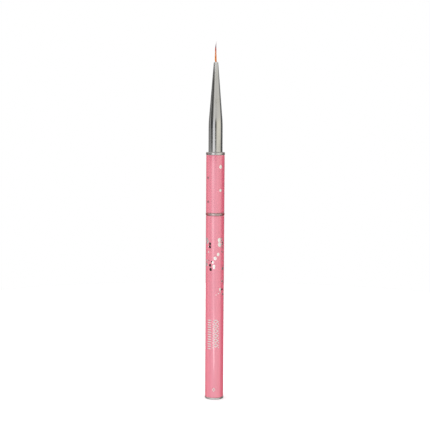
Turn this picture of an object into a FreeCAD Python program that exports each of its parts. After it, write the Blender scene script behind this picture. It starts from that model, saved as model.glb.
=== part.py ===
import FreeCAD, Part
import math
import os

from FreeCAD import Vector

# Acrylic nail brush whose long cap is posted on the back of its short grip.
#
# The brush proper is a drawn ferrule with a liner tuft, held in a short lacquered grip tube.
# A plated spigot at the back of the grip has the ferrule's own diameter, so the long lacquered
# cap pushes on at either end: over the spigot while painting, over the ferrule for travel.
# Inside the cap's mouth a moulded liner with four sprung fingers does the holding.
#
# Millimetres. Z is the common axis of every piece, hair up. The origin is the centre of the
# flat end face of the cap, which is the lowest point.

# ---- Driving dimensions: the two lacquered tubes ----
barrel_d = 9.0            # outside of cap tube and grip tube
tube_wall = 0.5
cap_tube_len = 90.1
grip_tube_len = 28.1
tube_edge_round = 0.22    # the lacquered outer edge at each tube end

# ---- Driving dimensions: the plated trim ----
ring_d = 9.2              # both trim rings stand slightly proud of the tubes
joint_ring_h = 1.3
front_ring_h = 1.3
ring_round = 0.25
end_flange_h = 0.85       # the visible rim of the end plug
end_flange_d = 9.2
end_flange_round = 0.3
end_shank_len = 6.0

# ---- Driving dimensions: the ferrule ----
ferrule_d = 6.9           # its straight part, and the spigot that matches it
ferrule_wall = 0.35
ferrule_straight_len = 14.1   # from the front ring to where cone and cylinder would meet
ferrule_taper_len = 29.3
ferrule_shoulder_r = 60.0     # soft blend between cylinder and cone
ferrule_tip_d = 2.15
ferrule_nose_round = 0.3
ferrule_nose_t = 0.7      # metal left at the swaged nose
neck_step = 0.2           # the glued shank is necked in by this much; its shoulder sits on the front ring
neck_round = 0.12         # outer edge of that shoulder

# ---- Driving dimensions: spigot, core and bush inside the grip ----
spigot_len = 13.5
spigot_chamfer = 0.5
spigot_bore_d = 4.6
spigot_end_wall = 1.6
rear_plug_len = 8.0
bush_len = 8.0
stub_len = 17.0           # how far the core reaches up into the ferrule
stub_rib_count = 6
stub_rib_w = 0.9
stub_rib_h = 0.25
glue_groove_w = 0.8
glue_groove_depth = 0.25

# ---- Driving dimensions: the cap's liner ----
liner_len = 24.0
liner_recess = 0.3        # below the cap's mouth
finger_count = 4
finger_slot_w = 0.8
finger_slot_len = 9.5
finger_flex_gap = 0.15    # room behind each finger to spring outwards
pad_h = 0.1               # height of the gripping pads and of the guide band
pad_len = 2.4
pad_from_mouth = 0.9
guide_len = 2.4
lead_in = 0.25            # height of every ramp onto a pad

# ---- Driving dimensions: hair, binding and epoxy ----
hair_out_len = 9.9
hair_root_d = 0.8
hair_belly_d = 0.86
hair_tip_d = 0.05
hair_root_len = 9.0       # hidden in the ferrule
thread_d = 0.2
thread_turns = 7
thread_from_butt = 1.2
epoxy_len = 12.0

# ---- Clearances ----
fit_gap = 0.02            # radial gap of pressed and glued pieces
slip_gap = 0.03           # radial gap of the sliding and turning fits
face_gap = 0.05           # between the joint ring and each neighbour

same_point = 1e-9         # two points nearer than this count as one

# ---- Radii and heights worked out from the above ----
barrel_r = barrel_d / 2
bore_r = barrel_r - tube_wall
insert_r = bore_r - fit_gap
ferrule_r = ferrule_d / 2
ferrule_in_r = ferrule_r - ferrule_wall
ferrule_tip_r = ferrule_tip_d / 2
shank_r = ferrule_r - neck_step
shank_in_r = ferrule_in_r - neck_step
hair_root_r = hair_root_d / 2

z_cap_base = end_flange_h
z_mouth = z_cap_base + cap_tube_len
z_joint_ring = z_mouth + face_gap
z_grip_base = z_joint_ring + joint_ring_h + face_gap
z_grip_top = z_grip_base + grip_tube_len
z_front = z_grip_top + front_ring_h
z_shoulder = z_front + ferrule_straight_len
z_nose = z_shoulder + ferrule_taper_len
z_hair_tip = z_nose + hair_out_len

z_core_base = z_grip_base + rear_plug_len
z_bush_base = z_grip_top - bush_len
z_spigot_tip = z_mouth - spigot_len

taper_angle = math.atan((ferrule_r - ferrule_tip_r) / ferrule_taper_len)
shoulder_reach = ferrule_shoulder_r * math.tan(taper_angle / 2)


def at(r, z):
    """A point of an outline: radius r from the axis, at height z."""
    return Vector(r, 0, z)


def line(*points):
    """Straight edges through the points, in order."""
    pairs = zip(points, points[1:])
    return [Part.LineSegment(a, b).toShape() for a, b in pairs if a.distanceToPoint(b) > same_point]


def arc(start, middle, end):
    """One circular edge through three points."""
    return [Part.Arc(start, middle, end).toShape()]


def turned(edges):
    """The solid of revolution of a closed outline about Z."""
    face = Part.Face(Part.Wire(edges))
    solid = face.revolve(Vector(0, 0, 0), Vector(0, 0, 1), 360)
    return solid if solid.Volume > 0 else solid.reversed()


def turned_ring(r_in, r_out, z0, z1):
    """A plain ring or, with r_in of 0, a plain disc."""
    return turned(line(at(r_in, z0), at(r_out, z0), at(r_out, z1), at(r_in, z1), at(r_in, z0)))


def quarter_arc(centre_r, centre_z, radius, start_deg, end_deg):
    """A round on an outline, given by its centre and the angles where it starts and ends."""
    def on(deg):
        a = math.radians(deg)
        return at(centre_r + radius * math.cos(a), centre_z + radius * math.sin(a))
    return arc(on(start_deg), on((start_deg + end_deg) / 2), on(end_deg))


def rounded_tube(r_in, r_out, z0, z1, edge_round):
    """A tube whose two outer edges are rounded."""
    low = z0 + edge_round
    high = z1 - edge_round
    side = r_out - edge_round
    edges = line(at(r_in, z0), at(side, z0))
    edges += quarter_arc(side, low, edge_round, -90, 0)
    edges += line(at(r_out, low), at(r_out, high))
    edges += quarter_arc(side, high, edge_round, 0, 90)
    edges += line(at(side, z1), at(r_in, z1), at(r_in, z0))
    return turned(edges)


def glue_grooves(r, z0, z1):
    """Two shallow grooves that hold the adhesive, evenly spaced along a shank."""
    third = (z1 - z0) / 3
    grooves = [turned_ring(r - glue_groove_depth, r + fit_gap, z0 + k * third - glue_groove_w / 2,
                           z0 + k * third + glue_groove_w / 2) for k in (1, 2)]
    return grooves[0].fuse(grooves[1])


def ferrule_side(inset):
    """Key points of the ferrule's side, moved in by inset.

    Returns the top of the cylinder, the middle of the blend and the foot of the cone."""
    centre_r = ferrule_r - ferrule_shoulder_r
    centre_z = z_shoulder - shoulder_reach
    radius = ferrule_shoulder_r - inset
    angles = (0, taper_angle / 2, taper_angle)
    return [at(centre_r + radius * math.cos(a), centre_z + radius * math.sin(a)) for a in angles]


def cone_r(z, inset):
    """Radius of the ferrule's cone at height z, moved in by inset."""
    return ferrule_tip_r + (z_nose - z) * math.tan(taper_angle) - inset / math.cos(taper_angle)


# ---- The cap ----

def make_cap_tube():
    return rounded_tube(bore_r, barrel_r, z_cap_base, z_mouth, tube_edge_round)


def make_end_plug():
    """Turned plug with a rounded rim below the tube and a glued shank inside it."""
    rim_r = end_flange_d / 2
    rounded = rim_r - end_flange_round
    z_top = z_cap_base + end_shank_len
    chamfer = glue_groove_depth
    edges = line(at(0, 0), at(rounded, 0))
    edges += quarter_arc(rounded, end_flange_round, end_flange_round, -90, 0)
    edges += line(at(rim_r, end_flange_round), at(rim_r, z_cap_base - end_flange_round))
    edges += quarter_arc(rounded, z_cap_base - end_flange_round, end_flange_round, 0, 90)
    edges += line(at(rounded, z_cap_base), at(insert_r, z_cap_base),
                  at(insert_r, z_top - chamfer), at(insert_r - chamfer, z_top), at(0, z_top), at(0, 0))
    return turned(edges).cut(glue_grooves(insert_r, z_cap_base, z_top))


def make_cap_liner():
    """Moulded sleeve in the cap's mouth: sprung fingers with gripping pads above a guide band."""
    z_top = z_mouth - liner_recess
    z_base = z_top - liner_len
    pad_r = ferrule_r + slip_gap
    wall_r = pad_r + pad_h
    z_pad_top = z_top - pad_from_mouth
    z_pad = z_pad_top - pad_len
    z_slot = z_top - finger_slot_len
    z_guide = z_spigot_tip + spigot_chamfer + lead_in
    finger_r = insert_r - finger_flex_gap
    inner = [at(wall_r, z_base),
             at(wall_r, z_guide - lead_in), at(pad_r, z_guide),
             at(pad_r, z_guide + guide_len), at(wall_r, z_guide + guide_len + lead_in),
             at(wall_r, z_pad - lead_in), at(pad_r, z_pad),
             at(pad_r, z_pad_top), at(wall_r, z_pad_top + lead_in),
             at(wall_r, z_top)]
    outer = [at(finger_r, z_top), at(finger_r, z_slot + finger_flex_gap), at(insert_r, z_slot),
             at(insert_r, z_base), at(wall_r, z_base)]
    liner = turned(line(*inner, *outer))
    reach = insert_r + fit_gap
    slot_foot = z_slot + finger_slot_w / 2
    slot = Part.makeBox(reach, finger_slot_w, z_mouth - slot_foot, Vector(0, -finger_slot_w / 2, slot_foot))
    slot_end = Part.makeCylinder(finger_slot_w / 2, reach, Vector(0, 0, slot_foot), Vector(1, 0, 0))
    one = slot.fuse(slot_end)
    for k in range(finger_count):
        turn = one.copy()
        turn.rotate(Vector(0, 0, 0), Vector(0, 0, 1), (k + 0.5) * 360 / finger_count)
        liner = liner.cut(turn)
    return liner


# ---- The trim ring between cap and grip ----

def make_joint_ring():
    """Loose trim ring round the spigot's neck."""
    z_top = z_joint_ring + joint_ring_h
    return rounded_tube(ferrule_r + slip_gap, ring_d / 2, z_joint_ring, z_top, ring_round)


# ---- The brush ----

def make_rear_spigot():
    """Turned plug: a glued shank in the grip tube and a spigot that the cap pushes onto."""
    z_top = z_core_base - fit_gap
    bore = spigot_bore_d / 2
    z_bore = z_spigot_tip + spigot_end_wall
    edges = line(at(0, z_spigot_tip), at(ferrule_r - spigot_chamfer, z_spigot_tip),
                 at(ferrule_r, z_spigot_tip + spigot_chamfer), at(ferrule_r, z_grip_base),
                 at(insert_r, z_grip_base), at(insert_r, z_top), at(bore, z_top),
                 at(bore, z_bore), at(0, z_bore), at(0, z_spigot_tip))
    return turned(edges).cut(glue_grooves(insert_r, z_grip_base, z_top))


def make_grip_tube():
    return rounded_tube(bore_r, barrel_r, z_grip_base, z_grip_top, tube_edge_round)


def make_grip_core():
    """Moulded core that joins spigot and ferrule: a plain body, and a ribbed stub up the ferrule."""
    z_top = z_bush_base - fit_gap
    stub_r = shank_in_r - fit_gap
    z_stub = z_top + stub_len
    end_taper = 2 * stub_rib_h
    body = turned_ring(0, insert_r, z_core_base, z_top)
    stub = Part.makeCone(stub_r - stub_rib_h, stub_r - end_taper, stub_len, Vector(0, 0, z_top))
    envelope = Part.makeCylinder(stub_r, stub_len, Vector(0, 0, z_top))
    for k in range(stub_rib_count):
        rib = Part.makeBox(stub_r, stub_rib_w, stub_len, Vector(0, -stub_rib_w / 2, z_top))
        rib.rotate(Vector(0, 0, 0), Vector(0, 0, 1), k * 360 / stub_rib_count)
        stub = stub.fuse(rib.common(envelope))
    tapered_end = Part.makeCone(stub_r, stub_r - end_taper, end_taper, Vector(0, 0, z_stub - end_taper))
    below_end = Part.makeCylinder(stub_r, stub_len - end_taper, Vector(0, 0, z_top))
    return body.fuse(stub.common(below_end.fuse(tapered_end))).removeSplitter()


def make_front_bush():
    """Moulded bush that centres the ferrule's shank in the grip tube."""
    return turned_ring(shank_r + fit_gap, insert_r, z_bush_base, z_grip_top - fit_gap)


def make_front_ring():
    """Trim ring that closes the front of the grip tube round the ferrule."""
    return rounded_tube(shank_r + fit_gap, ring_d / 2, z_grip_top, z_front, ring_round)


def make_ferrule():
    """Drawn tube: a necked shank, a straight part, a soft shoulder and a long cone to the nose."""
    hole_r = hair_root_r + fit_gap
    z_in_top = z_nose - ferrule_nose_t
    tip_centre_z = z_nose - ferrule_nose_round
    tip_centre_r = cone_r(tip_centre_z, ferrule_nose_round)
    side_deg = math.degrees(taper_angle)
    out_top, out_mid, out_foot = ferrule_side(0)
    in_top, in_mid, in_foot = ferrule_side(ferrule_wall)
    lip = at(tip_centre_r + ferrule_nose_round * math.cos(taper_angle),
             tip_centre_z + ferrule_nose_round * math.sin(taper_angle))
    edges = line(at(shank_in_r, z_bush_base), at(shank_r, z_bush_base), at(shank_r, z_front),
                 at(ferrule_r - neck_round, z_front))
    edges += quarter_arc(ferrule_r - neck_round, z_front + neck_round, neck_round, -90, 0)
    edges += line(at(ferrule_r, z_front + neck_round), out_top)
    edges += arc(out_top, out_mid, out_foot)
    edges += line(out_foot, lip)
    edges += quarter_arc(tip_centre_r, tip_centre_z, ferrule_nose_round, side_deg, 90)
    edges += line(at(tip_centre_r, z_nose), at(hole_r, z_nose), at(hole_r, z_in_top),
                  at(cone_r(z_in_top, ferrule_wall), z_in_top), in_foot)
    edges += arc(in_foot, in_mid, in_top)
    edges += line(in_top, at(ferrule_in_r, z_front + ferrule_wall), at(shank_in_r, z_front),
                  at(shank_in_r, z_bush_base))
    return turned(edges)


def make_hair_tuft():
    """Outer form of the liner tuft, from its cut butt inside the ferrule to its needle point."""
    z_butt = z_nose - hair_root_len
    belly_z = z_nose + 0.2 * hair_out_len
    middle_z = z_nose + 0.55 * hair_out_len
    middle_r = 0.56 * hair_belly_d / 2
    side = Part.BSplineCurve()
    side.interpolate([at(hair_root_r, z_nose), at(hair_belly_d / 2, belly_z), at(middle_r, middle_z),
                      at(hair_tip_d / 2, z_hair_tip)])
    edges = line(at(0, z_butt), at(hair_root_r, z_butt), at(hair_root_r, z_nose))
    edges += [side.toShape()]
    edges += line(at(hair_tip_d / 2, z_hair_tip), at(0, z_hair_tip), at(0, z_butt))
    return turned(edges)


def thread_span():
    """Lowest height and radii of the binding thread."""
    z0 = z_nose - hair_root_len + thread_from_butt
    return z0, hair_root_r + fit_gap


def make_binding_thread():
    """Close turns of thread round the hair's root, as one wound sleeve."""
    z0, r_in = thread_span()
    centre_r = r_in + thread_d / 2
    edges = []
    for k in range(thread_turns):
        edges += quarter_arc(centre_r, z0 + (k + 0.5) * thread_d, thread_d / 2, -90, 90)
    z1 = z0 + thread_turns * thread_d
    edges += line(at(centre_r, z1), at(r_in, z1), at(r_in, z0), at(centre_r, z0))
    return turned(edges)


def make_ferrule_epoxy():
    """Cured epoxy that fills the ferrule's nose round the hair's root and its binding."""
    inset = ferrule_wall + fit_gap
    z_top = z_nose - ferrule_nose_t - fit_gap
    z_base = z_nose - epoxy_len
    z_butt = z_nose - hair_root_len - fit_gap
    z0, r_in = thread_span()
    r_root = hair_root_r + fit_gap
    r_thread = r_in + thread_d + fit_gap
    z_thread = z0 - fit_gap
    z_thread_top = z0 + thread_turns * thread_d + fit_gap
    return turned(line(at(0, z_base), at(cone_r(z_base, inset), z_base), at(cone_r(z_top, inset), z_top),
                       at(r_root, z_top), at(r_root, z_thread_top), at(r_thread, z_thread_top),
                       at(r_thread, z_thread), at(r_root, z_thread), at(r_root, z_butt),
                       at(0, z_butt), at(0, z_base)))


nodes = {
    "cap_tube": make_cap_tube,
    "end_plug": make_end_plug,
    "cap_liner": make_cap_liner,
    "joint_ring": make_joint_ring,
    "rear_spigot": make_rear_spigot,
    "grip_tube": make_grip_tube,
    "grip_core": make_grip_core,
    "front_bush": make_front_bush,
    "front_ring": make_front_ring,
    "ferrule": make_ferrule,
    "ferrule_epoxy": make_ferrule_epoxy,
    "binding_thread": make_binding_thread,
    "hair_tuft": make_hair_tuft,
}

os.makedirs("parts", exist_ok=True)
for name, make in nodes.items():
    shape = make()
    shape.exportStep(os.path.join("parts", name + ".step"))
    print(name, "solids", len(shape.Solids), "valid", shape.isValid(), "mm3", round(shape.Volume, 2))
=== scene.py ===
# %% [markdown]
# # A pocket liner brush for painting nails
# The brush is a slim lacquered tube in two halves. The lower half is a cap and the upper half a
# short grip, which carries a polished ferrule and a needle of nylon hair. The cap pulls off and
# goes over the hair. The solids of every part are already made, so this lesson is about finishes:
# lacquer, plating, drawn nickel, moulded plastic, hot foil, and the hair, which is the one piece
# that has to be modelled again as separate filaments.

# %% Load the solids that everything is fitted to
import math
import random

import bmesh
import bpy
from mathutils import Matrix, Vector


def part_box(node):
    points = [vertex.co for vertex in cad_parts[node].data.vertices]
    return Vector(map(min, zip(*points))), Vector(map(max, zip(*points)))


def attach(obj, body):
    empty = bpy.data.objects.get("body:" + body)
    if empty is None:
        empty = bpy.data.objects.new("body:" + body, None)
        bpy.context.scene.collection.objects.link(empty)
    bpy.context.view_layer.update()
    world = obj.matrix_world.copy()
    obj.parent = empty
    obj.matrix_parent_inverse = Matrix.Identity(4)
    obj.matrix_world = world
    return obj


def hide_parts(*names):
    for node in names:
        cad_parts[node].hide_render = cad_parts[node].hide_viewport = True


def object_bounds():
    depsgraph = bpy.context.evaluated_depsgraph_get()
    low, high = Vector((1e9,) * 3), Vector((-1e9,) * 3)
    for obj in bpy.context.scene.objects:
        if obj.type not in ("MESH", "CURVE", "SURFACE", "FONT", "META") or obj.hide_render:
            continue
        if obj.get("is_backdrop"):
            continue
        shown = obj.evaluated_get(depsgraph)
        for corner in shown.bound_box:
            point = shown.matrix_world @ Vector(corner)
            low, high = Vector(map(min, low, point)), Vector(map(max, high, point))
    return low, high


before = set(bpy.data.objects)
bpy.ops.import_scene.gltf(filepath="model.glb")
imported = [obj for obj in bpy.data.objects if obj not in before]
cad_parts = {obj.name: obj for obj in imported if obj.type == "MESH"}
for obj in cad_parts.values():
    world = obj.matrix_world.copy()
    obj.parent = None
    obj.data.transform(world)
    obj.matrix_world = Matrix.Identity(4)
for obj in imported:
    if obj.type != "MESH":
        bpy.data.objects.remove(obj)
cad_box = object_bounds()
MM = 0.001
print("solids:", sorted(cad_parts))
print("box in mm:", [round(v / MM, 2) for corner in cad_box for v in corner])

# %% [markdown]
# ## The camera
# A product picture of a thin upright tool is taken from far off with a long lens, so that the
# barrel's sides stay parallel. The camera looks slightly down at the middle of the brush. It is
# rolled by a third of a degree, because the tool leans by that much in the finished picture.

# %% Camera
overall_height = cad_box[1].z
camera_distance = 0.501
camera_elevation = math.radians(5.5)
camera_roll = math.radians(0.34)
half_view = math.radians(11.85)
aim_sideways = -0.06 * MM
aim_height = 0.5202 * overall_height
aim_point = Vector((aim_sideways, 0.0, aim_height))

camera_data = bpy.data.cameras.new("camera")
camera_data.sensor_width = 36.0
camera_data.lens = camera_data.sensor_width / 2 / math.tan(half_view)
camera = bpy.data.objects.new("camera", camera_data)
bpy.context.scene.collection.objects.link(camera)
away = Vector((0.0, -math.cos(camera_elevation), math.sin(camera_elevation)))
camera.rotation_mode = "QUATERNION"
camera.location = aim_point + away * camera_distance
facing = (-away).to_track_quat("-Z", "Y")
camera.rotation_quaternion = facing @ Matrix.Rotation(camera_roll, 3, "Z").to_quaternion()
bpy.context.scene.camera = camera
bpy.context.scene.view_settings.view_transform = "Standard"
print("lens:", round(camera_data.lens, 1), "mm at", camera_distance, "m")

# %% [markdown]
# ## A short way to write node trees
# Every finish below is a tree of shader nodes. Written out in full, each node takes four or five
# lines, so two small functions do it: `add` makes a node and fills or joins its inputs by name,
# and `sums` makes a Math node, whose inputs have no names of their own.

# %% Node helpers
def plug(tree, socket, value):
    """Joins a socket to an output, or sets it to a constant."""
    if isinstance(value, bpy.types.NodeSocket):
        tree.links.new(value, socket)
    else:
        socket.default_value = value


def add(tree, kind, settings=None, inputs=None):
    """One node of a kind, with its own settings and its inputs by name."""
    node = tree.nodes.new(kind)
    for name, value in (settings or {}).items():
        setattr(node, name, value)
    for name, value in (inputs or {}).items():
        plug(tree, node.inputs[name], value)
    return node


def sums(tree, operation, first, second=0.0, third=None, clamp=False):
    """The result of one Math node. Only MULTIPLY_ADD takes a third value."""
    node = add(tree, "ShaderNodeMath", {"operation": operation, "use_clamp": clamp})
    plug(tree, node.inputs[0], first)
    plug(tree, node.inputs[1], second)
    if third is not None:
        plug(tree, node.inputs[2], third)
    return node.outputs[0]


def step_up(tree, value, low, high):
    """0 at low, 1 at high, and a smooth change between them, whichever of the two is larger."""
    settings = {"interpolation_type": "SMOOTHSTEP"}
    inputs = {"Value": value, "From Min": low, "From Max": high}
    return add(tree, "ShaderNodeMapRange", settings, inputs).outputs["Result"]


def blend_colours(tree, share, first, second):
    """One colour going over to another as share goes from 0 to 1."""
    node = add(tree, "ShaderNodeMix", {"data_type": "RGBA"})
    # A Mix node has its sockets once for each kind of data, so the colour ones go by number.
    colour_a, colour_b, colour_result = 6, 7, 2
    plug(tree, node.inputs["Factor"], share)
    plug(tree, node.inputs[colour_a], first)
    plug(tree, node.inputs[colour_b], second)
    return node.outputs[colour_result]


def ramp_through(tree, value, stops):
    """A colour ramp through stops, given as (position, colour)."""
    ramp = add(tree, "ShaderNodeValToRGB", None, {"Fac": value})
    elements = ramp.color_ramp.elements
    elements.remove(elements[1])
    elements[0].position = stops[0][0]
    elements[0].color = stops[0][1]
    for position, colour in stops[1:]:
        elements.new(position).color = colour
    return ramp.outputs["Color"]


def grey(level, warmth=0.0):
    """A grey that is a little warm, or a little cool where warmth is below 0."""
    return (level * (1 + 0.4 * warmth), level, level * (1 - 1.6 * warmth), 1.0)


print("node helpers ready")

# %% [markdown]
# ## The studio
# Polished metal shows nothing but its surroundings, so the surroundings are designed first. The
# brush stands in rings of cards: white ones make the long bright bands on the ferrule, and black
# ones make the dark lines that give it an edge. It could be built from planes with lamps behind
# them. Here the World shader draws the cards by compass angle instead, because then they are
# equally far from every point of the tool and are never in the picture. There are four rings.
# The lowest is near the ground, for when the tool is looked at from above. The next is just below
# the horizon, for the cap and the grip. The level one is for the front ring and the ferrule's
# straight part, and the highest is for the ferrule's cone, which looks up past the others.

# %% Four rings of cards: start and end angle from the camera's side, brightness, warmth
ground_ring = [
    (-180, -172, 1.00, 0.0),
    (-158, -132, 0.42, 0.0),
    (-112, -50, 1.15, 0.0),
    (-38, -30, 0.75, 0.0),
    (-14, 50, 1.30, 0.0),
    (84, 122, 0.38, 0.0),
    (146, 180, 1.00, 0.0),
]
below_ring = [
    (-180, -150, 0.30, 0.0),
    (-142, -128, 0.28, 0.0),
    (-114, -104, 0.42, 0.0),
    (-95, -56, 0.74, 0.0),
    (-46, -42, 0.86, 0.0),
    (-36, 2, 1.01, -0.01),
    (14, 34, 1.02, 0.02),
    (46, 66, 0.86, 0.03),
    (78, 82, 0.54, 0.02),
    (93, 150, 0.05, -0.02),
    (158, 180, 0.18, -0.02),
]
level_ring = [
    (-180, -170, 0.30, 0.0),
    (-164, -156, 0.90, 0.0),
    (-150, -112, 0.22, 0.0),
    (-106, -93, 0.58, 0.0),
    (-88, -46, 0.08, -0.03),
    (-41, -14, 1.04, -0.03),
    (-9, 6, 0.12, 0.04),
    (14, 18, 0.54, 0.08),
    (27, 86, 1.03, 0.07),
    (92, 97, 0.50, 0.02),
    (102, 138, 0.12, -0.02),
    (145, 152, 0.70, 0.0),
    (160, 180, 0.30, 0.0),
]
above_ring = [
    (-180, -170, 0.30, 0.0),
    (-164, -150, 0.95, 0.0),
    (-142, -125, 0.35, 0.0),
    (-112, -54, 0.09, 0.02),
    (-46, -40, 0.45, 0.02),
    (-30, -8, 0.90, 0.02),
    (0, 80, 0.82, 0.02),
    (90, 102, 0.60, 0.0),
    (108, 130, 0.58, 0.0),
    (138, 152, 0.95, 0.0),
    (160, 180, 0.30, 0.0),
]
all_rings = (ground_ring, below_ring, level_ring, above_ring)


def card_ring(tree, turn, cards):
    """A colour ramp round the horizon with two stops for each card."""
    stops = []
    for start, end, brightness, warmth in cards:
        stops.append((start / 360 + 0.5, grey(brightness, warmth)))
        stops.append((end / 360 + 0.5, grey(brightness, warmth)))
    return ramp_through(tree, turn, stops)


print("cards from the ground up:", [len(ring) for ring in all_rings])

# %% [markdown]
# The World shader is asked for a colour in each direction. The turn from the camera's side is an
# arctangent of two parts of that direction, and its third part is the sine of the elevation. A
# change between two heights is given by two elevations in degrees, and is smooth between them.

# %% World: directions
world = bpy.data.worlds.new("studio")
bpy.context.scene.world = world
world.use_nodes = True
studio = world.node_tree
studio.nodes.clear()
direction = add(studio, "ShaderNodeTexCoord").outputs["Generated"]
compass = add(studio, "ShaderNodeSeparateXYZ", None, {"Vector": direction}).outputs
to_camera = sums(studio, "MULTIPLY", compass["Y"], -1.0)
turn_angle = sums(studio, "ARCTAN2", compass["X"], to_camera)
turn_share = sums(studio, "ADD", sums(studio, "DIVIDE", turn_angle, 2 * math.pi), 0.5)


def rises(change):
    """0 below the lower of two elevations and 1 above the higher one."""
    low, high = (math.sin(math.radians(angle)) for angle in change)
    return step_up(studio, compass["Z"], low, high)


print("world:", world.name)

# %% [markdown]
# Above the rings the sky is one big soft light, brighter on the left, which lights the tool and
# the floor. Metal that is looked at from above would mirror nothing but this white and go flat.
# So the sky that glossy rays meet turns into a grey ceiling, with a pale panel right overhead.

# %% World: rings and sky
ground_to_below = (-20.5, -16.5)
below_to_level = (-2.5, -2.1)
level_to_above = (4.0, 10.5)
above_to_sky = (14.5, 21.0)
sky_to_ceiling = (32.0, 50.0)
ceiling_to_panel = (62.0, 76.0)
sky_right = 1.4
sky_left = 2.1
sky_turnover = 0.9
ceiling_shade = 0.42
panel_light = 0.90

ground, below, level, above = (card_ring(studio, turn_share, ring) for ring in all_rings)
cards = blend_colours(studio, rises(below_to_level), below, level)
cards = blend_colours(studio, rises(level_to_above), cards, above)
cards = blend_colours(studio, rises(ground_to_below), ground, cards)
leftness = step_up(studio, compass["X"], sky_turnover, -sky_turnover)
open_sky = blend_colours(studio, leftness, grey(sky_right), grey(sky_left))
ceiling = blend_colours(studio, rises(ceiling_to_panel), grey(ceiling_shade), grey(panel_light))
is_glossy = add(studio, "ShaderNodeLightPath").outputs["Is Glossy Ray"]
under_ceiling = sums(studio, "MULTIPLY", rises(sky_to_ceiling), is_glossy)
sky = blend_colours(studio, under_ceiling, open_sky, ceiling)
surroundings = blend_colours(studio, rises(above_to_sky), cards, sky)
print("sky:", sky_right, "to", sky_left, "and for glossy rays", ceiling_shade, "to", panel_light)

# %% [markdown]
# Left of the camera stands one strip lamp, leaning outwards at its top. It draws the pale streak
# down the clear coat of the lacquer, which breaks up where the lamp has dark panes. Each end is
# given by its elevation, its turn from the camera's side and its half width, all in degrees. The
# panes are given from the foot up, by elevation and glow.

# %% The strip lamp
lamp_light = 3.0
lamp_foot = (-14.5, -3.0, 9.0)
lamp_top = (-5.0, -29.0, 23.0)
lamp_full_share = 0.4
lamp_panes = [
    (-14.3, 0.00), (-13.9, 0.50), (-13.6, 0.90), (-13.3, 0.80), (-13.0, 0.60), (-12.6, 0.85),
    (-11.9, 0.85), (-11.4, 0.35), (-11.1, 0.20), (-9.4, 0.14), (-8.4, 0.16), (-7.6, 0.30),
    (-5.7, 0.36), (-5.3, 0.18), (-4.3, 0.13), (-3.9, 0.30), (-2.4, 0.30), (-2.2, 0.00),
]
pane_range = 20.0


def along_lamp(foot_value, top_value):
    """A value that goes from one at the lamp's foot to another at its top."""
    low, high = (math.sin(math.radians(end[0])) for end in (lamp_foot, lamp_top))
    inputs = {
        "Value": compass["Z"],
        "From Min": low,
        "From Max": high,
        "To Min": foot_value,
        "To Max": top_value,
    }
    return add(studio, "ShaderNodeMapRange", None, inputs).outputs["Result"]


lamp_middle = along_lamp(math.radians(lamp_foot[1]), math.radians(lamp_top[1]))
lamp_half_width = along_lamp(math.radians(lamp_foot[2]), math.radians(lamp_top[2]))
off_middle = sums(studio, "ABSOLUTE", sums(studio, "SUBTRACT", turn_angle, lamp_middle))
off_share = sums(studio, "DIVIDE", off_middle, lamp_half_width)
across_lamp = step_up(studio, off_share, 1.0, lamp_full_share)

# The ramp of panes runs from pane_range degrees below the horizon up to the horizon.
pane_stops = [(1.0 + angle / pane_range, grey(glow)) for angle, glow in lamp_panes]
elevation = sums(studio, "ARCSINE", compass["Z"])
pane_share = sums(studio, "MULTIPLY_ADD", elevation, 180 / math.pi / pane_range, 1.0)
lamp_glow = sums(studio, "MULTIPLY", across_lamp, ramp_through(studio, pane_share, pane_stops))
surroundings = blend_colours(studio, lamp_glow, surroundings, grey(lamp_light))
print("strip lamp:", len(lamp_panes), "stops of glow, at", lamp_light, "where it is full")

# %% [markdown]
# The camera itself sees plain white in place of all this, so the picture has a clean ground.

# %% What the camera sees, and what lights the tool
seen_light = add(studio, "ShaderNodeBackground", None, {"Color": grey(1.0), "Strength": 1.0})
cast_light = add(studio, "ShaderNodeBackground", None, {"Color": surroundings, "Strength": 1.0})
is_camera = add(studio, "ShaderNodeLightPath").outputs["Is Camera Ray"]
mixed = add(studio, "ShaderNodeMixShader", None, {"Fac": is_camera})
plug(studio, mixed.inputs[1], cast_light.outputs[0])
plug(studio, mixed.inputs[2], seen_light.outputs[0])
add(studio, "ShaderNodeOutputWorld", None, {"Surface": mixed.outputs[0]})
print("studio:", len(studio.nodes), "nodes")

# %% [markdown]
# ## The floor
# The tool stands on a plain white board. A board reflects in polished metal, but it would also
# hide the low cards from it, so glossy rays are let through. The board still takes a soft shadow
# and throws light back up, which is what fills the underside of the barrel.

# %% Floor
floor_radius = 0.35
floor_drop = 0.05 * MM
floor_sides = 96
floor_mesh = bpy.data.meshes.new("floor")
floor_form = bmesh.new()
bmesh.ops.create_circle(floor_form, cap_ends=True, segments=floor_sides, radius=floor_radius)
floor_form.to_mesh(floor_mesh)
floor_form.free()
floor = bpy.data.objects.new("floor", floor_mesh)
floor.location.z = -floor_drop
bpy.context.scene.collection.objects.link(floor)
floor.visible_glossy = False
floor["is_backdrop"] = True

board = bpy.data.materials.new("white_board")
board.use_nodes = True
board_tree = board.node_tree
board_grain = add(board_tree, "ShaderNodeTexNoise", None, {"Scale": 60.0, "Detail": 3.0})
board_colour = blend_colours(board_tree, board_grain.outputs["Fac"], grey(0.78), grey(0.82))
board_shader = board_tree.nodes["Principled BSDF"]
plug(board_tree, board_shader.inputs["Base Color"], board_colour)
plug(board_tree, board_shader.inputs["Roughness"], 0.9)
floor_mesh.materials.append(board)
print("floor: radius", floor_radius, "m")

# %% [markdown]
# ## Shared effects
# Real finishes share the same few causes. A part turned on a lathe has fine rings round its axis.
# A part drawn through a die has fine lines along it. Handling leaves smudges, and edges wear
# first. Each cause is one node group with its own inputs, placed in each material that needs it.
# A group gives out only masks and heights, and each material decides what to do with them.

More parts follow.
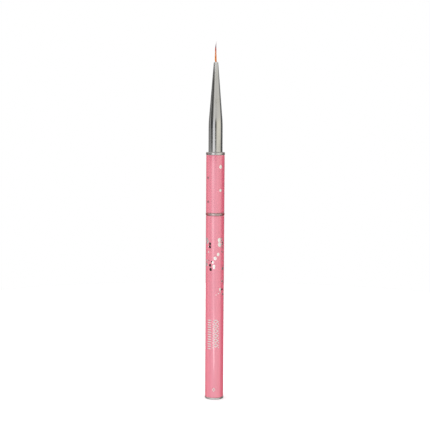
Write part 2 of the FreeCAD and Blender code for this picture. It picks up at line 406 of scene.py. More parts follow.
# %% Start a node group
def start_group(name, inputs, outputs):
    """An empty shader group with named inputs, given as name: default, and float outputs."""
    group = bpy.data.node_groups.new(name, "ShaderNodeTree")
    for label, default in inputs.items():
        socket = group.interface.new_socket(label, in_out="INPUT", socket_type="NodeSocketFloat")
        socket.default_value = default
    for label in outputs:
        group.interface.new_socket(label, in_out="OUTPUT", socket_type="NodeSocketFloat")
    return group, add(group, "NodeGroupInput").outputs, add(group, "NodeGroupOutput").inputs


def use_group(tree, group, inputs):
    """Places a group in a material and returns its outputs."""
    return add(tree, "ShaderNodeGroup", {"node_tree": group}, inputs).outputs


def object_place(tree):
    """Where a point is, in metres, in the tool's own frame."""
    return add(tree, "ShaderNodeTexCoord").outputs["Object"]


def round_the_axis(tree):
    """Distance from the tool's axis, angle round it, and height, all from object coordinates."""
    parts = add(tree, "ShaderNodeSeparateXYZ", None, {"Vector": object_place(tree)}).outputs
    squares = [sums(tree, "MULTIPLY", parts[axis], parts[axis]) for axis in ("X", "Y")]
    distance = sums(tree, "SQRT", sums(tree, "ADD", *squares))
    angle = sums(tree, "ARCTAN2", parts["Y"], parts["X"])
    return distance, angle, parts["Z"]


print("group helpers ready")

# %% [markdown]
# Lathe rings: noise that changes with the distance from the axis and with the height, and not
# with the angle. On a wall it gives rings, and on an end face it gives circles, as a tool leaves.

# %% Lathe rings
lathe_rings, given, result = start_group("lathe_rings", {"Lines per mm": 8.0}, ["Lines"])
distance, angle, height = round_the_axis(lathe_rings)
flat_place = add(lathe_rings, "ShaderNodeCombineXYZ", None, {"X": distance, "Z": height})
ring_scale = sums(lathe_rings, "MULTIPLY", given["Lines per mm"], 1 / MM)
ring_inputs = {"Vector": flat_place.outputs["Vector"], "Scale": ring_scale, "Detail": 2.0}
ring_noise = add(lathe_rings, "ShaderNodeTexNoise", None, ring_inputs)
plug(lathe_rings, result["Lines"], ring_noise.outputs["Fac"])
print("group:", lathe_rings.name)

# %% [markdown]
# Drawn lines: noise that changes quickly round the part and hardly at all along it. The angle is
# laid on a circle first, so that the lines have no seam at the back.

# %% Drawn lines
line_defaults = {"Lines round": 90.0, "Length mm": 30.0}
drawn_lines, given, result = start_group("drawn_lines", line_defaults, ["Lines"])
distance, angle, height = round_the_axis(drawn_lines)
line_scale = sums(drawn_lines, "DIVIDE", given["Lines round"], 2 * math.pi)
line_rate = sums(drawn_lines, "DIVIDE", 1 / MM, given["Length mm"])
line_place = add(drawn_lines, "ShaderNodeCombineXYZ")
for axis, operation in (("X", "COSINE"), ("Y", "SINE")):
    on_circle = sums(drawn_lines, operation, angle)
    plug(drawn_lines, line_place.inputs[axis], sums(drawn_lines, "MULTIPLY", on_circle, line_scale))
plug(drawn_lines, line_place.inputs["Z"], sums(drawn_lines, "MULTIPLY", height, line_rate))
line_inputs = {"Vector": line_place.outputs["Vector"], "Scale": 1.0, "Detail": 3.0, "Roughness": 0.6}
line_noise = add(drawn_lines, "ShaderNodeTexNoise", None, line_inputs)
plug(drawn_lines, result["Lines"], line_noise.outputs["Fac"])
print("group:", drawn_lines.name)

# %% [markdown]
# Smudges: soft patches a few millimetres wide, where fingers have dulled a gloss. The mask goes
# from 0 up to the amount that the material asks for.

# %% Smudges
handling, given, result = start_group("handling", {"Patch mm": 6.0, "Amount": 0.5}, ["Smudge"])
patch_scale = sums(handling, "DIVIDE", 1 / MM, given["Patch mm"])
patch_inputs = {"Vector": object_place(handling), "Scale": patch_scale, "Detail": 4.0}
patches = add(handling, "ShaderNodeTexNoise", None, patch_inputs)
smudge = step_up(handling, patches.outputs["Fac"], 0.48, 0.72)
plug(handling, result["Smudge"], sums(handling, "MULTIPLY", smudge, given["Amount"]))
print("group:", handling.name)

# %% [markdown]
# Worn ends: how far a point is from the lower and upper end of its part, broken up by noise. The
# mask is 1 right at an end, where paint is rubbed thin, and 0 a fraction of a millimetre away.

# %% Worn ends
wear_defaults = {"Low mm": 0.0, "High mm": 1.0, "Width mm": 0.2}
worn_ends, given, result = start_group("worn_ends", wear_defaults, ["Wear"])
height_mm = sums(worn_ends, "DIVIDE", round_the_axis(worn_ends)[2], MM)
from_low = sums(worn_ends, "SUBTRACT", height_mm, given["Low mm"])
from_high = sums(worn_ends, "SUBTRACT", given["High mm"], height_mm)
nearest = sums(worn_ends, "DIVIDE", sums(worn_ends, "MINIMUM", from_low, from_high), given["Width mm"])
chip_inputs = {"Vector": object_place(worn_ends), "Scale": 1.6 / MM, "Detail": 4.0}
chips = add(worn_ends, "ShaderNodeTexNoise", None, chip_inputs)
ragged = sums(worn_ends, "ADD", nearest, sums(worn_ends, "MULTIPLY", chips.outputs["Fac"], 1.2))
plug(worn_ends, result["Wear"], sums(worn_ends, "SUBTRACT", 1.0, step_up(worn_ends, ragged, 0.75, 1.25)))
print("group:", worn_ends.name)

# %% [markdown]
# ## Starting a material
# Each material starts the same way: a new tree with its Principled shader. What is the same all
# over the surface is written straight on the shader's sockets. Most finishes then need some grain
# from a noise texture, given by how many of its patches go into a millimetre.

# %% Material helpers
def start_material(name, constants):
    """A new material, its tree and its Principled shader, with constants set by input name."""
    material = bpy.data.materials.new(name)
    material.use_nodes = True
    tree = material.node_tree
    shader = tree.nodes["Principled BSDF"]
    for label, value in constants.items():
        shader.inputs[label].default_value = value
    return material, tree, shader


def grain_of(tree, per_mm, detail):
    """Noise from 0 to 1 all over a part, with so many patches to a millimetre."""
    inputs = {"Vector": object_place(tree), "Scale": per_mm / MM, "Detail": detail}
    return add(tree, "ShaderNodeTexNoise", None, inputs).outputs["Fac"]


def emboss(tree, shader, height, depth_mm):
    """Raises the surface by a height mask times a depth."""
    bump = add(tree, "ShaderNodeBump", None, {"Height": height, "Distance": depth_mm * MM})
    plug(tree, shader.inputs["Normal"], bump.outputs["Normal"])


def dress(node_name, material):
    """Gives a solid its finish."""
    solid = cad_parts[node_name]
    solid.data.materials.clear()
    solid.data.materials.append(material)
    print(node_name, "->", material.name)


print("material helpers ready")

# %% [markdown]
# ## Pink lacquer
# The tubes are drawn aluminium, sprayed with an opaque pink lacquer that holds a little pearl.
# The pearl is a fine speckle in the tone of the pink. The pink alone has a broad, weak sheen, and
# over it lies a thin clear coat with a high index of refraction, which mirrors the cards and the
# strip lamp. Where the barrel turns away from the eye the colour goes over to a stronger pink,
# which is painted shade at the barrel's edges.
# The spray stops at the rolled ends and never reaches the inside, where a mask by distance from
# the axis leaves the bare metal.

# %% Lacquer on a tube
lacquer_deep = (0.600, 0.120, 0.186, 1.0)
lacquer_light = (0.645, 0.144, 0.214, 1.0)
# painted edge shade: the stronger pink that the barrel takes where it turns from the eye
lacquer_painted_edge_shade = (0.900, 0.122, 0.184, 1.0)
bare_metal = (0.62, 0.62, 0.63, 1.0)
tube_wall = 0.5 * MM
painted_depth = 0.6 * tube_wall
skin_edge = 0.02 * MM
worn_width_mm = 0.07
lacquer_roughness = 0.44
smudge_roughness = 0.08


def pink_lacquer(node_name):
    """Lacquer for one tube: the wear follows that tube's own ends."""
    low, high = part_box(node_name)
    constants = {"IOR": 1.45, "Specular IOR Level": 0.2, "Coat IOR": 2.4, "Coat Roughness": 0.06}
    material, tree, shader = start_material("pink_lacquer_on_" + node_name, constants)
    skin_radius = high.x - painted_depth
    skin = step_up(tree, round_the_axis(tree)[0], skin_radius - skin_edge, skin_radius + skin_edge)
    ends = {"Low mm": low.z / MM, "High mm": high.z / MM, "Width mm": worn_width_mm}
    wear = use_group(tree, worn_ends, ends)["Wear"]
    painted = sums(tree, "MULTIPLY", skin, sums(tree, "SUBTRACT", 1.0, wear))
    pearl_inputs = {"Vector": object_place(tree), "Scale": 9.0 / MM}
    pearl = add(tree, "ShaderNodeTexVoronoi", None, pearl_inputs)
    flake = sums(tree, "MULTIPLY", pearl.outputs["Color"], 0.35)
    cloud = sums(tree, "MULTIPLY", grain_of(tree, 0.12, 3.0), 0.8)
    tone = sums(tree, "ADD", cloud, flake, clamp=True)
    face_on = blend_colours(tree, tone, lacquer_deep, lacquer_light)
    # painted shade: the more the surface turns from the eye, the more the pink goes over to the edge
    # colour
    painted_slant_share = add(tree, "ShaderNodeLayerWeight", None, {"Blend": 0.35}).outputs["Facing"]
    pink = blend_colours(tree, painted_slant_share, face_on, lacquer_painted_edge_shade)
    plug(tree, shader.inputs["Base Color"], blend_colours(tree, painted, bare_metal, pink))
    plug(tree, shader.inputs["Metallic"], sums(tree, "SUBTRACT", 1.0, painted))
    marks = use_group(tree, handling, {"Patch mm": 9.0, "Amount": 0.5})["Smudge"]
    dulled = sums(tree, "MULTIPLY_ADD", marks, smudge_roughness, lacquer_roughness)
    plug(tree, shader.inputs["Roughness"], dulled)
    plug(tree, shader.inputs["Coat Weight"], painted)
    lines = use_group(tree, drawn_lines, {"Lines round": 60.0, "Length mm": 22.0})["Lines"]
    emboss(tree, shader, sums(tree, "ADD", grain_of(tree, 0.7, 2.0), lines), 0.0006)
    return material


for tube in ("cap_tube", "grip_tube"):
    dress(tube, pink_lacquer(tube))

# %% [markdown]
# ## Bright plated trim
# The two rings, the end plug and the spigot are turned from bar and plated. The plating is bright
# but follows every fine ring that the lathe left, so the highlights are slightly drawn out. Where a
# ring is seen on the slant it goes over to a dark, less metallic colour, which is painted shade. The
# ring at the joint has a rose tint, which is a painted reflection of the pink tubes on either side,
# and the rest a plain one.

# %% Plated trim
def plated(name, colour, dark, painted_slant_colour, roughness):
    """A turned and plated metal, which goes over to a painted shade or reflection where it is seen on the
    slant.
    """
    material, tree, shader = start_material(name, {})
    rings = use_group(tree, lathe_rings, {"Lines per mm": 9.0})["Lines"]
    marks = use_group(tree, handling, {"Patch mm": 3.0, "Amount": 0.8})["Smudge"]
    tarnish = sums(tree, "ADD", sums(tree, "MULTIPLY", rings, 0.5), marks, clamp=True)
    facing = add(tree, "ShaderNodeLayerWeight", None, {"Blend": 0.5}).outputs["Facing"]
    # painted shade or reflection: on the slant the colour goes over to the slanted one, and the metal to
    # less metallic
    painted_slant_share = step_up(tree, facing, 0.12, 0.50)
    face_on = blend_colours(tree, tarnish, colour, dark)
    plug(tree, shader.inputs["Base Color"], blend_colours(tree, painted_slant_share, face_on, painted_slant_colour))
    plug(tree, shader.inputs["Metallic"], sums(tree, "MULTIPLY_ADD", painted_slant_share, -0.6, 1.0))
    plug(tree, shader.inputs["Roughness"], sums(tree, "MULTIPLY_ADD", marks, 0.10, roughness))
    emboss(tree, shader, rings, 0.0012)
    return material


# painted shade at the rings' ends, where they are seen on the slant
trim_painted_edge_shade = (0.20, 0.15, 0.14, 1.0)
trim = plated("plated_trim", grey(0.62, 0.01), grey(0.42, 0.03), trim_painted_edge_shade, 0.14)
for part in ("front_ring", "end_plug", "rear_spigot"):
    dress(part, trim)

# painted reflection: the rose tint stands in for the pink tubes on either side mirrored in the joint
# ring, dark red on the slant
plating_with_painted_pink = (0.52, 0.42, 0.41, 1.0)
tarnish_with_painted_pink = (0.38, 0.26, 0.26, 1.0)
painted_pink_reflection_slanted = (0.36, 0.06, 0.07, 1.0)
trim_with_painted_pink_reflection = plated("trim_with_painted_pink_reflection", plating_with_painted_pink, tarnish_with_painted_pink, painted_pink_reflection_slanted, 0.16)
dress("joint_ring", trim_with_painted_pink_reflection)

# %% [markdown]
# ## The nickel ferrule
# The ferrule is brass tube, drawn down to a cone on a mandrel and nickel plated. Drawing leaves
# lines along it, finer than the bands that it reflects. They make the edges of those bands a
# little uneven, which tells the eye that this is metal and not glass. The last few millimetres
# are wiped after every stroke, so there the polish goes over into a soft satin.

# %% Nickel
nickel_roughness = 0.09
worked_roughness = 0.07
wiped_roughness = 0.20
wiped_length = 9.0 * MM
nose_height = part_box("ferrule")[1].z

nickel, tree, shader = start_material("nickel_ferrule", {"Metallic": 1.0})
lines = use_group(tree, drawn_lines, {"Lines round": 120.0, "Length mm": 26.0})["Lines"]
fine_lines = use_group(tree, drawn_lines, {"Lines round": 420.0, "Length mm": 9.0})["Lines"]
marks = use_group(tree, handling, {"Patch mm": 5.0, "Amount": 0.7})["Smudge"]
worked = sums(tree, "ADD", sums(tree, "MULTIPLY", fine_lines, 0.6), marks, clamp=True)
plug(tree, shader.inputs["Base Color"], blend_colours(tree, worked, grey(0.585, 0.015), grey(0.52, 0.03)))
polish = sums(tree, "MULTIPLY_ADD", worked, worked_roughness, nickel_roughness)
wiped = step_up(tree, round_the_axis(tree)[2], nose_height - wiped_length, nose_height)
plug(tree, shader.inputs["Roughness"], sums(tree, "MULTIPLY_ADD", wiped, wiped_roughness, polish))
emboss(tree, shader, sums(tree, "ADD", lines, sums(tree, "MULTIPLY", fine_lines, 0.3)), 0.0015)
dress("ferrule", nickel)

# %% [markdown]
# ## The white mouldings
# The liner in the cap, the core of the grip and the bush under the front ring are moulded in
# white polypropylene. It is slightly translucent, has a fine sparked texture, and flow marks that
# run along it. Little of it shows, and only with the cap off: the liner, inside the cap's mouth.

# %% Moulded plastic
moulding_constants = {"IOR": 1.49, "Subsurface Weight": 0.15, "Subsurface Scale": 0.001}
moulding, tree, shader = start_material("white_moulding", moulding_constants)
flow = use_group(tree, drawn_lines, {"Lines round": 14.0, "Length mm": 12.0})["Lines"]
marks = use_group(tree, handling, {"Patch mm": 4.0, "Amount": 0.6})["Smudge"]
tint = sums(tree, "ADD", sums(tree, "MULTIPLY", flow, 0.6), marks, clamp=True)
plug(tree, shader.inputs["Base Color"], blend_colours(tree, tint, grey(0.84, 0.01), grey(0.74, 0.03)))
spark = grain_of(tree, 6.0, 2.0)
plug(tree, shader.inputs["Roughness"], sums(tree, "MULTIPLY_ADD", spark, 0.2, 0.36))
emboss(tree, shader, spark, 0.004)
for part in ("cap_liner", "grip_core", "front_bush"):
    dress(part, moulding)

# %% [markdown]
# ## Epoxy and thread
# The hairs are tied with waxed thread and potted in epoxy, out of sight in the ferrule. The resin
# is amber with a few bubbles, which are spots in the middles of a Voronoi texture's cells.

# %% Epoxy
amber_deep = (0.62, 0.34, 0.10, 1.0)
amber_pale = (0.78, 0.52, 0.22, 1.0)
bubble_colour = (0.9, 0.8, 0.6, 1.0)
resin_constants = {"IOR": 1.55, "Coat Weight": 0.5, "Coat Roughness": 0.08}
resin, tree, shader = start_material("amber_epoxy", resin_constants)
place = object_place(tree)
swirl_inputs = {"Vector": place, "Scale": 0.9 / MM, "Distortion": 1.5}
swirl = add(tree, "ShaderNodeTexNoise", None, swirl_inputs).outputs["Fac"]
cells = add(tree, "ShaderNodeTexVoronoi", None, {"Vector": place, "Scale": 2.2 / MM})
bubble = sums(tree, "SUBTRACT", 1.0, step_up(tree, cells.outputs["Distance"], 0.08, 0.16))
amber = blend_colours(tree, swirl, amber_deep, amber_pale)
plug(tree, shader.inputs["Base Color"], blend_colours(tree, bubble, amber, bubble_colour))
plug(tree, shader.inputs["Roughness"], sums(tree, "MULTIPLY", swirl, 0.4))
emboss(tree, shader, bubble, 0.02)
dress("ferrule_epoxy", resin)

# %% [markdown]
# The thread is two plies twisted together, so its light and dark bands run slantwise. A sine of
# the angle and the height together draws such bands, and noise adds the fuzz of the fibres.

# %% Waxed thread
thread_dark = (0.48, 0.43, 0.34, 1.0)
thread_light = (0.70, 0.66, 0.55, 1.0)
bands_round = 24.0
twist_per_mm = 14.0
thread, tree, shader = start_material("waxed_thread", {"Sheen Weight": 0.3, "Sheen Roughness": 0.4})
distance, angle, height = round_the_axis(tree)
climb = sums(tree, "MULTIPLY", height, twist_per_mm / MM)
twist = sums(tree, "ADD", sums(tree, "MULTIPLY", angle, bands_round), climb)
plies = sums(tree, "MULTIPLY_ADD", sums(tree, "SINE", twist), 0.5, 0.5)
fuzz = grain_of(tree, 12.0, 3.0)
plug(tree, shader.inputs["Base Color"], blend_colours(tree, plies, thread_dark, thread_light))
plug(tree, shader.inputs["Roughness"], sums(tree, "MULTIPLY_ADD", fuzz, 0.3, 0.4))
emboss(tree, shader, sums(tree, "ADD", plies, fuzz), 0.02)
dress("binding_thread", thread)

# %% [markdown]
# ## The hair
# A liner's hair is a bundle of tapered nylon filaments, cut at the butt and never at the tip, so
# it closes to a needle. A particle system could grow it, but an exported model keeps only meshes,
# and each filament matters at the needle. So every filament is a thin tube, swept along its own
# line. The bundle's shape comes first: its radius, and a centreline that leans a little and curls
# back at its tip, as a used liner's does. Both go by the share of the hair's length.

# %% Hair: the bundle's shape
tip_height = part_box("hair_tuft")[1].z
hair_length = tip_height - nose_height
root_radius = 0.375 * MM
needle_radius = 0.012 * MM
closing_power = 5
closing_sharpness = 1.8
belly = 0.08 * MM
belly_end = 0.4
lean = 0.185 * MM
lean_foot = 0.05
tip_curl = 0.385 * MM
curl_start = 0.68
curl_power = 1.6


def bundle_radius(share):
    """Radius of the bundle: a slight belly above the root, full past the middle, then a needle."""
    upward = min(max(share, 0.0), 1.0)
    bulge = belly * math.sin(math.pi * min(upward / belly_end, 1.0))
    narrowing = (1.0 - upward**closing_power) ** closing_sharpness
    return needle_radius + (root_radius - needle_radius) * narrowing + bulge


def centreline(share):
    """How far the bundle leans sideways: none in the hole, then one way, and back at the tip."""
    upward = min(max(share, 0.0), 1.0)
    curled = max((upward - curl_start) / (1.0 - curl_start), 0.0)
    return -lean * (1.0 - math.exp(-upward / lean_foot)) + tip_curl * curled**curl_power


print("hair:", round(hair_length / MM, 2), "mm out of the nose")

# %% [markdown]
# The lines start packed like seeds in a sunflower, which fills a disc evenly, and close in on the
# centreline. Each has its own length, a little swirl and a slow wave, all drawn from one seeded
# die, so that the bundle looks grown and is the same every time.

# %% Hair: the line of one filament
filament_count = 210
filament_radius = 0.030 * MM
filament_tip_radius = 0.006 * MM
filament_taper = 1.5
filament_rings = 18
hidden_root = 1.2 * MM
golden_angle = math.pi * (3 - math.sqrt(5))
length_spread = 0.32
most_swirl = 0.5
most_wander_mm = 0.02
wander_waves = 5.0


def filament_line(number, dice):
    """Points and radii along one filament, from its hidden root to its tip."""
    spread = math.sqrt((number + 0.5) / filament_count)
    start_angle = number * golden_angle
    reach = 1.0 - length_spread * spread * dice.random()
    swirl = dice.uniform(-most_swirl, most_swirl)
    wander = dice.uniform(0.0, most_wander_mm) * MM
    phase = dice.uniform(0.0, 2 * math.pi)
    root_share = -hidden_root / hair_length
    line = []
    for ring in range(filament_rings):
        along = ring / (filament_rings - 1)
        share = root_share + (reach - root_share) * along
        angle = start_angle + swirl * max(share, 0.0)
        away = spread * bundle_radius(share)
        drift = wander * math.sin(phase + wander_waves * share) * max(share, 0.0)
        centre_x = centreline(share) + away * math.cos(angle) + drift
        centre = Vector((centre_x, away * math.sin(angle), nose_height + share * hair_length))
        radius = filament_radius + (filament_tip_radius - filament_radius) * along**filament_taper
        line.append((centre, radius))
    return line


print("filaments:", filament_count, "with", filament_rings, "points each")

# %% [markdown]
# A filament is only six hundredths of a millimetre thick, so a tube of five sides looks round.
# Its rings lie level, because the lines are nearly upright, and that saves turning each one. The
# second helper hands a form over: it becomes an object, rides on its body and has its finish.

# %% Sweep a tube and hand over a piece
def sweep(form, line, sides):
    """A closed tube round a nearly upright line."""
    angles = [2 * math.pi * side / sides for side in range(sides)]
    directions = [Vector((math.cos(a), math.sin(a), 0.0)) for a in angles]
    loops = []
    for centre, radius in line:
        loops.append([form.verts.new(centre + radius * direction) for direction in directions])
    for lower, upper in zip(loops, loops[1:]):
        for side in range(sides):
            after = (side + 1) % sides
            form.faces.new((lower[side], lower[after], upper[after], upper[side])).smooth = True
    form.faces.new(list(reversed(loops[0])))
    form.faces.new(loops[-1])


def finish_piece(name, form, material, body):
    """Turns a bmesh into an object that rides on a body and has a finish."""
    bmesh.ops.recalc_face_normals(form, faces=form.faces)
    mesh = bpy.data.meshes.new(name)
    form.to_mesh(mesh)
    form.free()
    mesh.materials.append(material)
    piece = bpy.data.objects.new(name, mesh)
    bpy.context.scene.collection.objects.link(piece)
    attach(piece, body)
    print(name, "rides on", body, "with", len(mesh.polygons), "faces")
    return piece


print("sweep and hand-over ready")

# %% [markdown]
# The nylon is dyed in the bundle: deep orange where it leaves the metal, brighter along the belly,
# then a red band, and a smoky purple tip where the filaments thin out. The dye follows the height,
# with a little noise that is stretched along the hairs, so that each differs from its neighbour.

# %% Hair: dye
dye_bands = [
    (0.00, (0.62, 0.168, 0.010, 1.0)),
    (0.12, (0.77, 0.264, 0.042, 1.0)),
    (0.46, (0.80, 0.355, 0.190, 1.0)),
    (0.58, (0.60, 0.090, 0.028, 1.0)),
    (0.66, (0.64, 0.095, 0.048, 1.0)),
    (0.71, (0.28, 0.130, 0.165, 1.0)),
    (0.88, (0.36, 0.220, 0.260, 1.0)),
    (1.00, (0.45, 0.320, 0.360, 1.0)),
]
dye_unevenness = 0.08
strand_stretch = 0.06
hair_constants = {"IOR": 1.53, "Specular IOR Level": 0.08, "Roughness": 0.5}
nylon, tree, shader = start_material("nylon_hair", hair_constants)
height = round_the_axis(tree)[2]
height_inputs = {"Value": height, "From Min": nose_height, "From Max": tip_height}
hair_share = add(tree, "ShaderNodeMapRange", None, height_inputs).outputs["Result"]
stretch_inputs = {"Vector": object_place(tree), "Scale": (1.0, 1.0, strand_stretch)}
stretched = add(tree, "ShaderNodeMapping", None, stretch_inputs).outputs["Vector"]
strand_inputs = {"Vector": stretched, "Scale": 14.0 / MM, "Detail": 1.0}
strand = add(tree, "ShaderNodeTexNoise", None, strand_inputs).outputs["Fac"]
shifted = sums(tree, "MULTIPLY_ADD", strand, dye_unevenness, -0.5 * dye_unevenness)
dye_share = sums(tree, "ADD", hair_share, shifted, clamp=True)
plug(tree, shader.inputs["Base Color"], ramp_through(tree, dye_share, dye_bands))
emboss(tree, shader, strand, 0.01)
print("dye:", len(dye_bands), "colours from the nose to the tip")

# %% Hair: sweep every filament
filament_sides = 5
hair_seed = 7
dice = random.Random(hair_seed)
hair_form = bmesh.new()
for number in range(filament_count):
    sweep(hair_form, filament_line(number, dice), filament_sides)
hair = finish_piece("hair_filaments", hair_form, nylon, "brush")
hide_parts("hair_tuft")

# %% [markdown]
# ## Hot foil
# The decoration is pressed on with a heated die: drops, dots and small sprays of metal foil,
# about a hundredth of a millimetre proud of the lacquer. It could be painted on as a mask, but a
# real edge catches the light, and the foil lies on its own level. So each motif is a thin patch.
# Its outline is drawn flat, in millimetres round and along the barrel, and wrapped afterwards.

# %% Foil: outlines
outline_points = 28
outline_angles = [2 * math.pi * step / outline_points for step in range(outline_points)]
drop_shoulder = 1.25
drop_pinch = 1.1
side_hollow = 1.15


def oval(width, length):
    """An oval outline, in mm, round and along the barrel."""
    return [(0.5 * width * math.cos(a), 0.5 * length * math.sin(a)) for a in outline_angles]


def drop(width, length):
    """A drop with its point upwards."""
    points = []
    for x, y in oval(width, length):
        pinch = 0.5 + y / length
        points.append((x * (drop_shoulder - pinch * pinch * drop_pinch), y))
    return points


def lozenge(width, length):
    """A diamond with slightly hollow sides."""
    points = []
    for angle in outline_angles:
        reach = 1.0 / (abs(math.cos(angle)) + abs(math.sin(angle))) ** side_hollow
        points.append((0.5 * width * reach * math.cos(angle), 0.5 * length * reach * math.sin(angle)))
    return points


def turned_by(outline, degrees):
    """The outline, turned in its own plane."""
    c, s = math.cos(math.radians(degrees)), math.sin(math.radians(degrees))
    return [(x * c - y * s, x * s + y * c) for x, y in outline]


print("outlines:", outline_points, "points each")

# %% [markdown]
# Pressing sets the outline on the barrel several times, one inside the other: first sunk in the
# lacquer, then up the side, over a small bevel and across the top, which so follows the curve. An
# open motif goes down again in its middle, and a full one is closed there.

# %% Foil: wrapping and pressing
barrel_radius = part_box("cap_tube")[1].x
foil_lift = 0.014 * MM
foil_sink = 0.010 * MM
foil_shoulder = 0.4 * foil_lift
bevel_share = 0.06
top_shares = (0.66, 0.33)


def on_barrel(round_mm, along_mm, turn, height_mm, lift):
    """Wraps a flat point on the barrel. Turn is in degrees from the front, to the right."""
    angle = math.radians(turn) + round_mm * MM / barrel_radius
    reach = barrel_radius + lift
    return Vector((reach * math.sin(angle), -reach * math.cos(angle), (height_mm + along_mm) * MM))


def press(form, outline, turn, height_mm, hollow=0.0):
    """Presses one motif on the barrel. Hollow is the size of its open middle, 0 for none."""
    steps = [(1.0, -foil_sink), (1.0, foil_shoulder), (1.0 - bevel_share, foil_lift)]
    if hollow:
        steps += [(hollow + bevel_share, foil_lift), (hollow, foil_shoulder), (hollow, -foil_sink)]
    else:
        steps += [(share, foil_lift) for share in top_shares]
    loops = []
    for scale, lift in steps:
        points = [on_barrel(x * scale, y * scale, turn, height_mm, lift) for x, y in outline]
        loops.append([form.verts.new(point) for point in points])
    pairs = list(zip(loops, loops[1:]))
    if hollow:
        pairs.append((loops[-1], loops[0]))
    for outer, inner in pairs:
        for here in range(len(outline)):
            after = (here + 1) % len(outline)
            form.faces.new((outer[here], outer[after], inner[after], inner[here]))
    if not hollow:
        for loop, lift in ((loops[-1], foil_lift), (loops[0], -foil_sink)):
            middle = form.verts.new(on_barrel(0.0, 0.0, turn, height_mm, lift))
            for here in range(len(outline)):
                form.faces.new((loop[here], loop[(here + 1) % len(outline)], middle))


print("foil stands", round(foil_lift / MM, 3), "mm proud of radius", round(barrel_radius / MM, 2))

# %% [markdown]
# The foil itself is aluminium, bright as a mirror but crinkled by the die. Some motifs on the cap
# are nearly black: a painted dark reflection, foil drawn dark where it would mirror dark
# surroundings. Half of the motifs on the grip are pressed in a rose foil. The pale ornament lower
# down is printed in a satin silver ink, which is duller and lets a little of the lacquer through.

# %% Foil and ink
def hot_foil(name, bright, dull):
    """Foil, crinkled and dulled by the grain of the die."""
    material, tree, shader = start_material(name, {"Metallic": 1.0})
    crinkle_inputs = {"Vector": object_place(tree), "Scale": 2.5 / MM}
    crinkle = add(tree, "ShaderNodeTexVoronoi", None, crinkle_inputs).outputs["Distance"]
    grain = grain_of(tree, 7.0, 2.0)
    plug(tree, shader.inputs["Base Color"], blend_colours(tree, grain, bright, dull))
    plug(tree, shader.inputs["Roughness"], sums(tree, "MULTIPLY", grain, 0.6))
    emboss(tree, shader, sums(tree, "ADD", crinkle, grain), 0.006)
    return material


silver_foil = hot_foil("silver_foil", grey(0.97, 0.02), grey(0.84, 0.03))
# painted dark reflection: nearly black foil where the foil would mirror dark surroundings
painted_dark_foil = hot_foil("painted_dark_foil", (0.11, 0.08, 0.08, 1.0), (0.07, 0.04, 0.04, 1.0))
rose_foil = hot_foil("rose_foil", (0.80, 0.38, 0.42, 1.0), (0.60, 0.27, 0.30, 1.0))

thin_ink = (0.58, 0.36, 0.35, 1.0)
ink, tree, shader = start_material("satin_ink", {"Metallic": 0.25, "Roughness": 0.4})
mesh_marks = grain_of(tree, 5.0, 3.0)
thin = step_up(tree, mesh_marks, 0.35, 0.75)
plug(tree, shader.inputs["Base Color"], blend_colours(tree, thin, grey(0.58, 0.02), thin_ink))
emboss(tree, shader, mesh_marks, 0.004)
print("finishes:", silver_foil.name, painted_dark_foil.name, rose_foil.name, ink.name)

# %% [markdown]
# On the grip the motifs stand in four columns round the tube, and every second column is about
# half a step higher. That is the plainest way to scatter dots so that no side looks empty.

# %% Foil on the grip
grip_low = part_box("grip_tube")[0].z / MM
first_turn = -50
column_turn = 85
first_row = 5.4
row_pitch = 11.6
silver_rise = 5.6
grip_forms = {"silver": bmesh.new(), "rose": bmesh.new()}
for column in range(4):
    shade, rise = ("rose", 0.0) if column % 2 == 0 else ("silver", silver_rise)
    for row in range(2):
        turn = first_turn + column_turn * column
        height_mm = grip_low + first_row + row_pitch * row + rise
        motif = drop(1.6, 2.1) if shade == "silver" and row == 1 else oval(1.4, 1.3)
        press(grip_forms[shade], motif, turn, height_mm)
finish_piece("grip_foil_silver", grip_forms["silver"], silver_foil, "brush")
finish_piece("grip_foil_rose", grip_forms["rose"], rose_foil, "brush")

# %% [markdown]
# On the cap the motifs run in short sprays: two to four petals one after another along a curve,
# each with its own size. One function lays a spray from its start, its end, its bow and its
# sizes, and a list of them dresses the front. The same list dresses the back: it is mirrored,
# turned nearly half round and set a little lower, so that the two sides don't look copied.

# %% Foil on the cap
petal_length = 1.25
most_petal_lean = 18
petal_lean_step = 2.4


def spray(form, start, end, bow, sizes):
    """Petals along a bowed line from start to end, each given as (turn, height in mm)."""
    count = len(sizes)
    for number, size in enumerate(sizes):
        share = number / (count - 1)
        turn = start[0] + (end[0] - start[0]) * share + bow * math.sin(math.pi * share)
        height_mm = start[1] + (end[1] - start[1]) * share
        petal_lean = most_petal_lean * math.sin(petal_lean_step * number)
        petal = turned_by(oval(size, petal_length * size), petal_lean)
        press(form, petal, turn, height_mm)


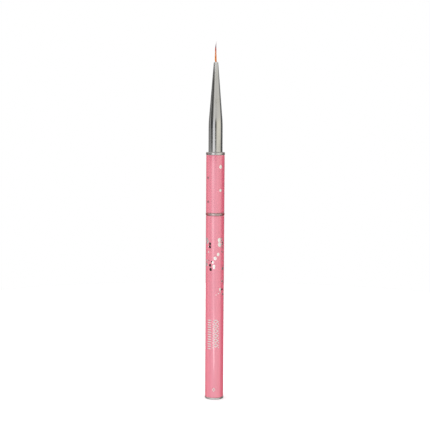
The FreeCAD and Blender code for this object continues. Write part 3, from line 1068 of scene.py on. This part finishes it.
cap_sprays = {
    "silver": [
        ((28, 79.2), (31, 77.0), 0, (1.7, 1.9)),
        ((46, 79.8), (52, 75.6), 2, (0.7, 0.9, 0.9, 0.8)),
        ((21, 72.2), (-13, 68.3), -2, (1.35, 1.45, 1.1)),
        ((-48, 78.4), (-44, 73.2), 0, (1.0, 0.5, 0.7)),
        ((-61, 79.4), (-58, 77.8), 0, (1.5, 1.2)),
        ((-57, 68.9), (-61, 67.0), 0, (1.0, 1.5)),
        ((-6, 66.3), (-5, 65.5), 0, (1.4, 0.9)),
        ((51, 73.4), (57, 65.0), 3, (0.8, 0.4, 1.3)),
        ((36, 54.9), (38, 53.6), 0, (1.15, 0.6)),
        ((24, 52.9), (9, 52.2), 0, (0.45, 0.4)),
        ((53, 58.8), (58, 52.4), 0, (1.0, 0.9)),
    ],
    # painted dark reflection: these motifs are foil drawn nearly black
    "painted_dark": [
        ((-32, 77.3), (-33, 75.8), 0, (1.2, 1.2)),
        ((-31, 66.8), (-27, 64.8), 0, (1.25, 1.3)),
        ((-40, 69.2), (-20, 68.6), 0, (0.5, 0.7)),
        ((57, 77.8), (52, 54.8), 9, (0.5, 0.4, 0.9)),
    ],
}
front_and_back = ((0, 0.0, 1), (176, -4.6, -1))
for shade, finish in (("silver", silver_foil), ("painted_dark", painted_dark_foil)):
    cap_form = bmesh.new()
    for half_turn, shift, mirror in front_and_back:
        for start, end, bow, sizes in cap_sprays[shade]:
            places = [(half_turn + mirror * turn, height_mm + shift) for turn, height_mm in (start, end)]
            spray(cap_form, places[0], places[1], mirror * bow, sizes)
    finish_piece("cap_foil_" + shade, cap_form, finish, "cap")

# %% [markdown]
# Lower down, where such a brush often carries lettering, this one has two bands of plain
# ornament: open lozenges with dots in the gaps, and beside them a finer row of dashes. One more
# lozenge stands alone near the cap's end.

# %% Ornament on the cap
ornament_top = 40.2
lozenge_count = 6
lozenge_pitch = 2.35
first_lozenge = 1.2
lozenge_turn = 8
dot_turn = 18
dash_count = 13
dash_pitch = 1.18
first_dash = 0.6
dash_turn = -34
open_middle = 0.5
lone_turn = -3
lone_height = 5.0

ornament_form = bmesh.new()
for number in range(lozenge_count):
    height_mm = ornament_top - first_lozenge - lozenge_pitch * number
    press(ornament_form, lozenge(3.3, 2.3), lozenge_turn, height_mm, hollow=open_middle)
    for side_turn in (lozenge_turn - dot_turn, lozenge_turn + dot_turn):
        press(ornament_form, oval(0.55, 0.7), side_turn, height_mm - 0.5 * lozenge_pitch)
for number in range(dash_count):
    height_mm = ornament_top - first_dash - dash_pitch * number
    press(ornament_form, oval(2.1, 0.6), dash_turn, height_mm)
press(ornament_form, lozenge(1.7, 2.3), lone_turn, lone_height, hollow=open_middle)
finish_piece("cap_ornament", ornament_form, ink, "cap")

# %% [markdown]
# ## The size after dressing
# Both boxes are measured, the solids' and the dressed brush's, and how far the dressed one has grown at
# its upper corner is printed.

# %% Finish
dressed_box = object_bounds()
sizes = {"cad": [list(corner) for corner in cad_box], "dressed": [list(corner) for corner in dressed_box]}
print("grown by mm:", [round((b - a) / MM, 3) for a, b in zip(sizes["cad"][1], sizes["dressed"][1])])
